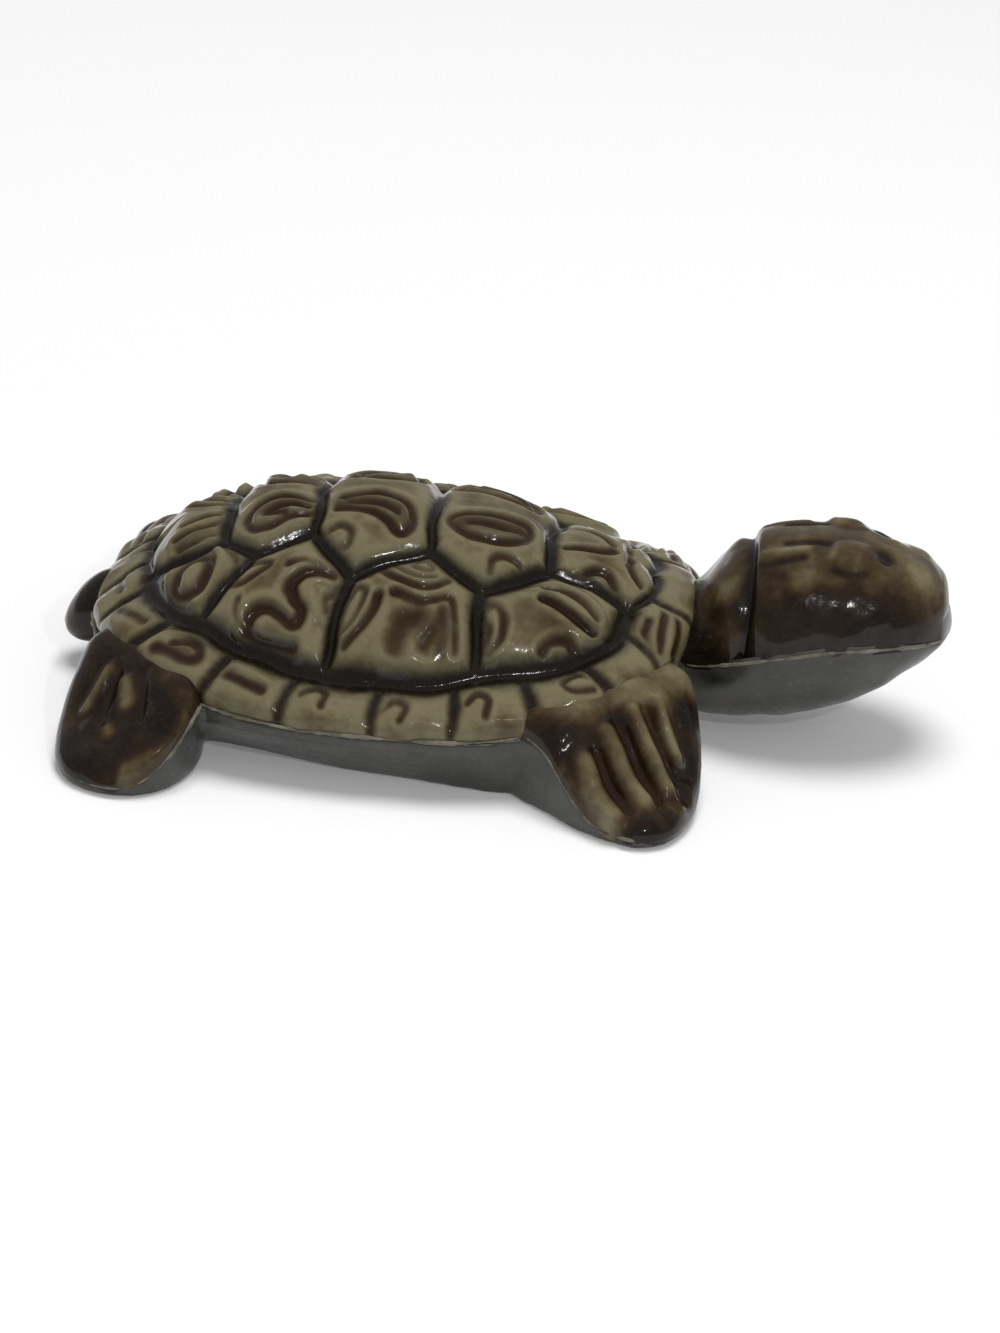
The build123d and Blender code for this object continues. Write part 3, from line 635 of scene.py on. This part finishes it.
def flipper_piece(name, shares, rows, glow, side):
    """Upper half of one flipper, rounded down to the seam all round."""
    outline = curve(np.array(shares) * (half_length, half_span), closed=True, count=24)[:-1]
    middle = outline.mean(0)
    bearing = np.arctan2(*(outline - middle).T[::-1])
    order = np.argsort(bearing)
    bearing = bearing[order]
    length = np.linalg.norm(outline[order] - middle, axis=1)
    radius, angle, faces, rim = disc_grid(flipper_count)
    radius = 1 - (1 - np.clip(radius, 0, 1)) ** 1.7
    reach = np.interp(angle, bearing, length, period=2 * pi)
    x = middle[0] + radius * reach * np.cos(angle)
    y = middle[1] + radius * reach * np.sin(angle)
    edge = np.clip((1 - radius) * reach / flipper_edge, 0, 1)
    swell = np.sqrt(np.clip(1 - (1 - edge) ** 2, 0, 1))
    z = seam_z(x, y) + flipper_thickness * swell
    points = np.stack([x, y, z], -1)
    skirt = points[rim] - (0, 0, 0.6)
    skirt[:, :2] = middle + (skirt[:, :2] - middle) * 0.97
    rows_of_points = [rim, np.arange(len(rim)) + len(points)]
    points = np.concatenate([points, skirt])
    swell = np.concatenate([swell, np.zeros(len(rim))])
    faces = np.concatenate([faces, strip_faces(rows_of_points, True)])
    marks = flipper_marks(rows, outline)
    seed = 20.0 if side > 0 else 0.0
    u = points[:, 0] + 0.15 * ripple(points[:, 0], points[:, 1], seed, 7.0, 11)
    v = points[:, 1] + 0.15 * ripple(points[:, 0], points[:, 1], seed, 7.0, 12)
    points[:, 1] *= side
    if side < 0:
        faces = faces[:, ::-1]
    piece = make_mesh(name, points, faces)
    directions = outward(piece)
    rise = marks.read(marks.rise, u, v) * smooth(swell / 0.8)
    rise += 0.05 * ripple(*points.T, 3.0, 14) * smooth(swell / 0.5)
    reshape(piece, points + directions * rise[:, None])
    root = smooth((seam_z(u, v) - 6.2) / 1.8)
    pale = np.maximum(marks.read(marks.pale, u, v), glow * root)
    layer(piece, "pool", 0.92 - 0.80 * pale + 0.10 * ripple(*points.T, 5.0, 15))
    layer(piece, "ink", marks.read(marks.ink, u, v) * (1 - pale))
    layer(piece, "groove", 0 * u)
    return piece


def head_surface(upper):
    """Base points of the upper or lower half of the head and neck."""
    tables = head_width_shares, head_top_shares if upper else head_low_shares, head_seam_shares
    station = np.linspace(-0.06, pi / 2, head_stations)
    station = np.where(station > 0, np.sin(np.clip(station, 0, pi / 2)), station)
    turn = np.linspace(-0.06, pi + 0.06, head_angles)
    half = along(tables[0], station) * half_head
    crown = along(tables[1], station) * body_height
    seam = along(tables[2], station) * body_height
    nose = np.clip((station - nose_start_share) / (1 - nose_start_share), 0, 1)
    shrink = np.sqrt(1 - nose**2)
    power = 2 / (head_roundness if upper else throat_roundness)
    c, s = np.cos(turn), np.sin(turn)
    across = np.sign(c) * np.abs(c) ** power
    rise = np.where(s > 0, np.abs(s) ** power, s)
    x = head_root + station[:, None] * head_reach + 0 * turn[None, :]
    y = (half * shrink)[:, None] * across[None, :]
    z = seam[:, None] + ((crown - seam) * shrink)[:, None] * rise[None, :]
    points = np.stack([x, y, z], -1)
    index = np.arange(points[..., 0].size).reshape(points.shape[:2])
    faces = strip_faces(list(index), False)
    if upper:
        faces = faces[:, ::-1]
    height = (z - seam[:, None]) / np.maximum(np.abs(crown - seam)[:, None], 0.1)
    return points.reshape(-1, 3), faces, height.ravel()


def head_piece():
    """Upper half of the head and neck, with eyes, folds, the neck crease and painted shade down its sides."""
    points, faces, height = head_surface(True)
    piece = make_mesh("head_glaze", points, faces)
    directions = outward(piece)
    folded = np.column_stack([points[:, 0], np.abs(points[:, 1]), points[:, 2]])
    rise = 0.06 * ripple(*points.T, 4.0, 21)
    # Painted shade: darker down the sides of the head and paler on its top, as under light from above;
    # swellings and lines then add glaze depth.
    pool = 0.96 - 0.50 * smooth((height - 0.55) / 0.4) + 0.08 * ripple(*points.T, 6.0, 22)
    for radius, swell, glaze_depth, centre in head_spots:
        near = np.exp(-((np.linalg.norm(folded - centre, axis=1) / radius) ** 3.5))
        rise += swell * near
        pool += glaze_depth * near
    groove = np.zeros(len(points))
    for width, depth, line in head_lines:
        near = np.exp(-((distance(folded, curve(line)) / width) ** 2))
        rise -= depth * near
        pool += near * (0.55 if depth > 0 else -0.30)
    near = np.exp(-(((points[:, 0] - crease_x) / crease_half_width) ** 2))
    rise -= crease_depth * near
    groove += near
    root = smooth((head_root + 3.0 - points[:, 0]) / 1.6)
    groove += 0.7 * root
    reshape(piece, points + directions * rise[:, None])
    layer(piece, "pool", pool)
    layer(piece, "ink", 0 * pool)
    layer(piece, "groove", groove)
    return piece


def throat_piece():
    """Lower half of the head and neck."""
    points, faces, height = head_surface(False)
    piece = make_mesh("throat_glaze", points, faces)
    directions = outward(piece)
    rise = 0.08 * ripple(*points.T, 5.0, 31)
    reshape(piece, points + directions * rise[:, None])
    layer(piece, "edge", 1 - smooth(np.abs(height) / 0.12))
    # Near-black patch low on the right side of the neck, facing the front flipper.
    neck_dark_patch = np.exp(-((np.linalg.norm((points - (32.8, -7.4, 8.0)) / (2.4, 2, 0.8), axis=1)) ** 2))
    layer(piece, "neck_dark_patch", neck_dark_patch)
    return piece


def tail_piece():
    """Blunt tail, closed at its tip."""
    stations = np.linspace(-0.3, pi / 2, 80)
    stations = np.where(stations > 0, np.sin(np.clip(stations, 0, pi / 2)), stations)
    tables = [[(row[0], row[k]) for row in tail_shares] for k in (1, 2, 3)]
    width, height, middle = (along(table, stations) for table in tables)
    nose = np.clip((stations - 0.9) / 0.1, 0, 1)
    shrink = np.sqrt(1 - nose**2)
    turn = np.linspace(0, 2 * pi, 97)[:-1]
    x = -half_length + rim_lip - stations[:, None] * tail_reach + 0 * turn[None, :]
    y = (width * shrink * tail_half_width)[:, None] * np.cos(turn)[None, :]
    z = (middle * body_height)[:, None] + (height * shrink * tail_half_height)[:, None] * np.sin(turn)
    points = np.stack([x, y, z], -1)
    index = np.arange(x.size).reshape(x.shape)
    piece = make_mesh("tail_glaze", points.reshape(-1, 3), strip_faces(list(index), True))
    points = points.reshape(-1, 3)
    root = smooth((points[:, 0] + half_length + 1.6) / 1.8)
    layer(piece, "pool", 0.72 + 0.15 * ripple(*points.T, 3.0, 41))
    layer(piece, "ink", 0 * root)
    layer(piece, "groove", 0.9 * root)
    return piece


def belly_piece():
    """Lower half of body and flippers, with its edges softened as by glaze."""
    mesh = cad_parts["belly"].data.copy()
    rough = bpy.data.objects.new("belly_rough", mesh)
    bpy.context.scene.collection.objects.link(rough)
    even = rough.modifiers.new("even", "REMESH")
    even.mode = "VOXEL"
    even.voxel_size = voxel * mm
    soft = rough.modifiers.new("soft", "SMOOTH")
    soft.factor = 0.5
    soft.iterations = 8
    graph = bpy.context.evaluated_depsgraph_get()
    done = bpy.data.meshes.new_from_object(rough.evaluated_get(graph))
    bpy.data.objects.remove(rough)
    done.materials.clear()
    piece = bpy.data.objects.new("belly_glaze", done)
    bpy.context.scene.collection.objects.link(piece)
    done.polygons.foreach_set("use_smooth", np.ones(len(done.polygons), bool))
    points = np.zeros(len(done.vertices) * 3)
    done.vertices.foreach_get("co", points)
    points = points.reshape(-1, 3) / mm
    gap = seam_z(points[:, 0], points[:, 1]) - points[:, 2]
    layer(piece, "edge", 1 - smooth(gap / 0.9))
    layer(piece, "neck_dark_patch", 0 * gap)
    return piece


def strand(name, path, radius, seed):
    """Uneven thin bead of clay along a path."""
    path = np.asarray(path, float)
    step = np.linalg.norm(np.diff(path, axis=0), axis=1)
    travel = np.concatenate([[0], np.cumsum(step)])
    count = int(travel[-1] / 0.18)
    at = np.linspace(0, travel[-1], count)
    line = np.column_stack([np.interp(at, travel, path[:, k]) for k in range(3)])
    run = np.gradient(line, axis=0)
    run /= np.linalg.norm(run, axis=1)[:, None]
    side = np.cross(run, (0, 0, 1))
    side /= np.linalg.norm(side, axis=1)[:, None]
    up = np.cross(side, run)
    wobble = ripple(at, 0 * at, 0 * at, 1.6, seed) * 0.3 + ripple(at, 0 * at, 0 * at, 5.0, seed + 1) * 0.3
    ends = np.sqrt(np.clip(np.minimum(at, travel[-1] - at) / 1.5, 0, 1))
    size = radius * np.clip(1 + wobble, 0.35, 1.4) * (0.1 + 0.9 * ends)
    turn = np.linspace(0, 2 * pi, 11)[:-1]
    ring = np.cos(turn)[None, :, None] * side[:, None, :] + 0.8 * np.sin(turn)[None, :, None] * up[:, None, :]
    points = line[:, None, :] + ring * size[:, None, None]
    index = np.arange(points[..., 0].size).reshape(points.shape[:2])
    return make_mesh(name, points.reshape(-1, 3), strip_faces(list(index), True))


def seam_paths():
    """Lines of the seam where it shows, by name."""
    paths = {}
    for side, word in ((-1, "right"), (1, "left")):
        x = np.linspace(-16.5, 14.5, 80)
        y = half_width * (1 - np.abs(x / half_length) ** outline_power) ** (1 / outline_power)
        paths[f"seam_side_{word}"] = np.column_stack([x, side * (y - 0.05), rim_z(x)])
        y = np.linspace(3.6, 10.4, 30)
        x = -half_length * (1 - np.abs(y / half_width) ** outline_power) ** (1 / outline_power)
        paths[f"seam_rear_{word}"] = np.column_stack([x, side * y, rim_z(x)])
        for name, shares in (("front", front_flipper_shares), ("rear", rear_flipper_shares)):
            outline = curve(np.array(shares) * (half_length, half_span), closed=True, count=16)[:-1]
            u, v = np.abs(outline.T) / [[half_length], [half_width]]
            beyond = u**outline_power + v**outline_power > 1.0
            first = np.argmax(beyond & ~np.roll(beyond, 1))
            outline = np.roll(outline, -first, axis=0)[: beyond.sum()]
            z = seam_z(*outline.T)
            outline = outline * (1 - seam_inset / np.linalg.norm(outline, axis=1)[:, None])
            paths[f"seam_{name}_flipper_{word}"] = np.column_stack([outline * (1, side), z])
        station = np.linspace(0.04, 0.975, 90)
        nose = np.clip((station - nose_start_share) / (1 - nose_start_share), 0, 1)
        half = along(head_width_shares, station) * half_head * np.sqrt(1 - nose**2)
        seam = along(head_seam_shares, station) * body_height
        paths[f"seam_head_{word}"] = np.column_stack([head_root + station * head_reach, side * half, seam])
    return paths


def new_material(name):
    """Empty material with its node tree and shader."""
    material = bpy.data.materials.new(name)
    material.use_nodes = True
    return material, material.node_tree, material.node_tree.nodes["Principled BSDF"]


def add(tree, kind, **values):
    """One node with its settings and plain inputs."""
    node = tree.nodes.new(kind)
    for name, value in values.items():
        if name in node.inputs:
            node.inputs[name].default_value = value
        else:
            setattr(node, name, value)
    return node


def link(tree, source, target):
    """Join an output to an input."""
    tree.links.new(source, target)


def reading(tree, name):
    """Output of a number stored on the mesh."""
    return add(tree, "ShaderNodeAttribute", attribute_name=name).outputs["Fac"]


def sums(tree, operation, a, b):
    """Arithmetic on two outputs or numbers."""
    node = add(tree, "ShaderNodeMath", operation=operation)
    for socket, value in zip(node.inputs, (a, b)):
        if isinstance(value, (int, float)):
            socket.default_value = value
        else:
            link(tree, value, socket)
    return node.outputs[0]


def noise(tree, scale, detail=4.0, rough=0.55):
    """Cloudy pattern fixed to the object, between 0 and 1."""
    place = add(tree, "ShaderNodeTexCoord").outputs["Object"]
    node = add(tree, "ShaderNodeTexNoise", Scale=scale, Detail=detail, Roughness=rough)
    link(tree, place, node.inputs["Vector"])
    return node.outputs["Fac"]


def ramp(tree, value, stops):
    """Colour or grey by value, from (place, colour) stops."""
    node = add(tree, "ShaderNodeValToRGB")
    points = node.color_ramp.elements
    while len(points) < len(stops):
        points.new(0.5)
    for point, (place, colour) in zip(points, stops):
        point.position = place
        point.color = (*colour, 1)
    link(tree, value, node.inputs["Fac"])
    return node.outputs["Color"]


def blend(tree, share, low, high, mode="MIX"):
    """Mix two colours by a share."""
    node = add(tree, "ShaderNodeMix", data_type="RGBA", blend_type=mode)
    for socket, value in ((node.inputs[0], share), (node.inputs[6], low), (node.inputs[7], high)):
        if isinstance(value, (int, float)):
            socket.default_value = value
        elif isinstance(value, tuple):
            socket.default_value = (*value, 1)
        else:
            link(tree, value, socket)
    return node.outputs[2]


def honey_glaze():
    """Brown glaze that is thin and pale on edges and pools dark in hollows, with painted shade on the sides
    of the head.
    """
    material, tree, shader = new_material("honey_glaze")
    broad = sums(tree, "MULTIPLY", sums(tree, "SUBTRACT", noise(tree, 190.0, 3.0), 0.5), 0.85)
    fine = sums(tree, "MULTIPLY", sums(tree, "SUBTRACT", noise(tree, 950.0, 5.0, 0.65), 0.5), 0.50)
    # Stored number: glaze depth, plus painted shade on the sides of the head; more of it gives a darker
    # colour.
    depth = sums(tree, "ADD", reading(tree, "pool"), sums(tree, "ADD", broad, fine))
    colour = ramp(tree, depth, [
        (0.00, (0.175, 0.150, 0.084)),
        (0.22, (0.115, 0.092, 0.046)),
        (0.45, (0.062, 0.040, 0.017)),
        (0.70, (0.025, 0.013, 0.005)),
        (1.00, (0.008, 0.0045, 0.003)),
    ])
    ink = sums(tree, "MULTIPLY", reading(tree, "ink"), 0.88)
    colour = blend(tree, ink, colour, (0.020, 0.007, 0.002))
    ragged = sums(tree, "ADD", reading(tree, "groove"), sums(tree, "MULTIPLY", fine, 0.7))
    groove = ramp(tree, ragged, [(0.12, (0, 0, 0)), (0.80, (1, 1, 1))])
    colour = blend(tree, sums(tree, "MULTIPLY", groove, 0.93), colour, (0.006, 0.004, 0.003))
    speck = ramp(tree, noise(tree, 2300.0, 2.0), [(0.56, (0, 0, 0)), (0.66, (1, 1, 1))])
    colour = blend(tree, sums(tree, "MULTIPLY", speck, 0.14), colour, (0.05, 0.045, 0.038))
    link(tree, colour, shader.inputs["Base Color"])
    gloss = ramp(tree, noise(tree, 260.0, 3.0), [(0.3, (0.09,) * 3), (0.7, (0.19,) * 3)])
    link(tree, gloss, shader.inputs["Roughness"])
    shader.inputs["Specular IOR Level"].default_value = 0.30
    bump = add(tree, "ShaderNodeBump", Strength=0.25, Distance=0.00025)
    link(tree, noise(tree, 520.0, 4.0), bump.inputs["Height"])
    link(tree, bump.outputs["Normal"], shader.inputs["Normal"])
    return material


def grey_glaze():
    """Plain grey glaze of the underside, stained brown along the seam."""
    material, tree, shader = new_material("grey_glaze")
    cloud = noise(tree, 95.0, 6.0, 0.6)
    colour = ramp(tree, cloud, [
        (0.25, (0.030, 0.031, 0.029)),
        (0.50, (0.050, 0.050, 0.045)),
        (0.75, (0.085, 0.083, 0.074)),
    ])
    speck = ramp(tree, noise(tree, 1900.0, 3.0), [(0.55, (0, 0, 0)), (0.68, (1, 1, 1))])
    colour = blend(tree, sums(tree, "MULTIPLY", speck, 0.35), colour, (0.11, 0.105, 0.095))
    edge = sums(tree, "MULTIPLY", reading(tree, "edge"), ramp(tree, noise(tree, 420.0), [
        (0.35, (0.1,) * 3), (0.65, (0.9,) * 3)]))
    colour = blend(tree, edge, colour, (0.075, 0.062, 0.042))
    # Near-black patch on the right side of the neck, where the stored number is high.
    colour = blend(tree, sums(tree, "MULTIPLY", reading(tree, "neck_dark_patch"), 0.8), colour, (0.012, 0.012, 0.013))
    link(tree, colour, shader.inputs["Base Color"])
    gloss = ramp(tree, noise(tree, 300.0, 3.0), [(0.3, (0.2,) * 3), (0.7, (0.36,) * 3)])
    link(tree, gloss, shader.inputs["Roughness"])
    shader.inputs["Specular IOR Level"].default_value = 0.42
    bump = add(tree, "ShaderNodeBump", Strength=0.3, Distance=0.00025)
    link(tree, noise(tree, 600.0, 5.0), bump.inputs["Height"])
    link(tree, bump.outputs["Normal"], shader.inputs["Normal"])
    return material


def seam_glaze():
    """Pale, slightly rough glaze where it has run thin over the seam."""
    material, tree, shader = new_material("seam_glaze")
    colour = ramp(tree, noise(tree, 480.0, 5.0, 0.7), [
        (0.30, (0.050, 0.040, 0.024)),
        (0.46, (0.130, 0.118, 0.088)),
        (0.68, (0.230, 0.215, 0.175)),
    ])
    link(tree, colour, shader.inputs["Base Color"])
    shader.inputs["Roughness"].default_value = 0.38
    shader.inputs["Specular IOR Level"].default_value = 0.42
    bump = add(tree, "ShaderNodeBump", Strength=0.6, Distance=0.0003)
    link(tree, noise(tree, 1500.0, 4.0), bump.inputs["Height"])
    link(tree, bump.outputs["Normal"], shader.inputs["Normal"])
    return material


def build_turtle():
    """All pieces of the figurine."""
    honey, grey, seam = honey_glaze(), grey_glaze(), seam_glaze()
    finish_piece(carapace_piece(), honey, ["carapace"])
    finish_piece(head_piece(), honey, ["head"])
    finish_piece(tail_piece(), honey, ["tail"])
    for end, shares, rows, glow in (
        ("front", front_flipper_shares, front_flipper_marks, front_root_glow),
        ("rear", rear_flipper_shares, rear_flipper_marks, rear_root_glow),
    ):
        for side, word in ((-1, "right"), (1, "left")):
            node = f"{end}_flipper_{word}"
            piece = flipper_piece(f"{node}_glaze", shares, rows, glow, side)
            finish_piece(piece, honey, [node])
    finish_piece(throat_piece(), grey, ["throat"])
    finish_piece(belly_piece(), grey, ["belly"])
    for number, (name, path) in enumerate(seam_paths().items()):
        piece = strand(name, path, seam_radius, 50 + 2 * number)
        finish_piece(piece, seam, [])


# Camera: it looks from the turtle's right side, a little from above
camera_azimuth = radians(3)
camera_elevation = radians(26)
camera_roll = radians(4)
camera_distance = 330.0
camera_target = Vector((11.0, 0.0, 3.5))
image_long_side = 1333
focal_pixels = 3230
sensor_size = 36.0


def place_camera():
    """Camera at the photograph's viewing angle."""
    a, e = camera_azimuth, camera_elevation
    back = Vector((sin(a) * cos(e), -cos(a) * cos(e), sin(e)))
    level = Vector((cos(a), sin(a), 0))
    rise = back.cross(level)
    right = level * cos(camera_roll) + rise * sin(camera_roll)
    up = rise * cos(camera_roll) - level * sin(camera_roll)
    lens = bpy.data.cameras.new("camera")
    lens.sensor_width = sensor_size
    lens.lens = focal_pixels / image_long_side * sensor_size
    lens.clip_start = 0.01
    camera = bpy.data.objects.new("camera", lens)
    bpy.context.scene.collection.objects.link(camera)
    camera.matrix_world = Matrix.LocRotScale(
        (camera_target + back * camera_distance) * mm,
        Matrix((right, up, back)).transposed().to_quaternion(),
        None,
    )
    bpy.context.scene.camera = camera


def lamp(name, place, size, power, glossy):
    """Round lamp that faces the turtle."""
    light = bpy.data.lights.new(name, "AREA")
    light.shape = "DISK"
    light.size = size * mm
    light.energy = power
    holder = bpy.data.objects.new(name, light)
    bpy.context.scene.collection.objects.link(holder)
    holder.location = Vector(place) * mm
    towards = (camera_target - Vector(place)).normalized()
    holder.rotation_euler = towards.to_track_quat("-Z", "Y").to_euler()
    holder.visible_glossy = glossy


def light_scene():
    """Soft light from above, and small lamps that give the glaze its sparks."""
    world = bpy.data.worlds.new("room")
    world.use_nodes = True
    world.node_tree.nodes["Background"].inputs["Color"].default_value = (0.34, 0.34, 0.34, 1)
    world.node_tree.nodes["Background"].inputs["Strength"].default_value = 1.0
    bpy.context.scene.world = world
    lamp("softbox", (60, 60, 900), 500, 5.6, False)
    lamp("spark_main", (150, -330, 260), 12, 0.20, True)
    lamp("spark_left", (40, -360, 300), 5, 0.03, True)
    lamp("spark_right", (210, -250, 300), 5, 0.03, True)


def lay_floor():
    """Pale floor that keeps the shadow."""
    size = 4000.0
    corners = np.array([(-size, -size, 0), (size, -size, 0), (size, size, 0), (-size, size, 0)], float)
    floor = make_mesh("floor", corners, [(0, 1, 2, 3)])
    material, tree, shader = new_material("floor")
    shader.inputs["Base Color"].default_value = (0.86, 0.86, 0.86, 1)
    shader.inputs["Roughness"].default_value = 0.9
    shader.inputs["Specular IOR Level"].default_value = 0.0
    rays = add(tree, "ShaderNodeLightPath")
    seen = sums(tree, "MAXIMUM", rays.outputs["Is Camera Ray"], rays.outputs["Is Glossy Ray"])
    seen = sums(tree, "MAXIMUM", seen, rays.outputs["Is Transmission Ray"])
    shader.inputs["Emission Color"].default_value = (1, 1, 1, 1)
    link(tree, sums(tree, "MULTIPLY", seen, 0.12), shader.inputs["Emission Strength"])
    floor.data.materials.append(material)


build_turtle()
place_camera()
light_scene()
lay_floor()
bpy.context.scene.view_settings.view_transform = "Standard"
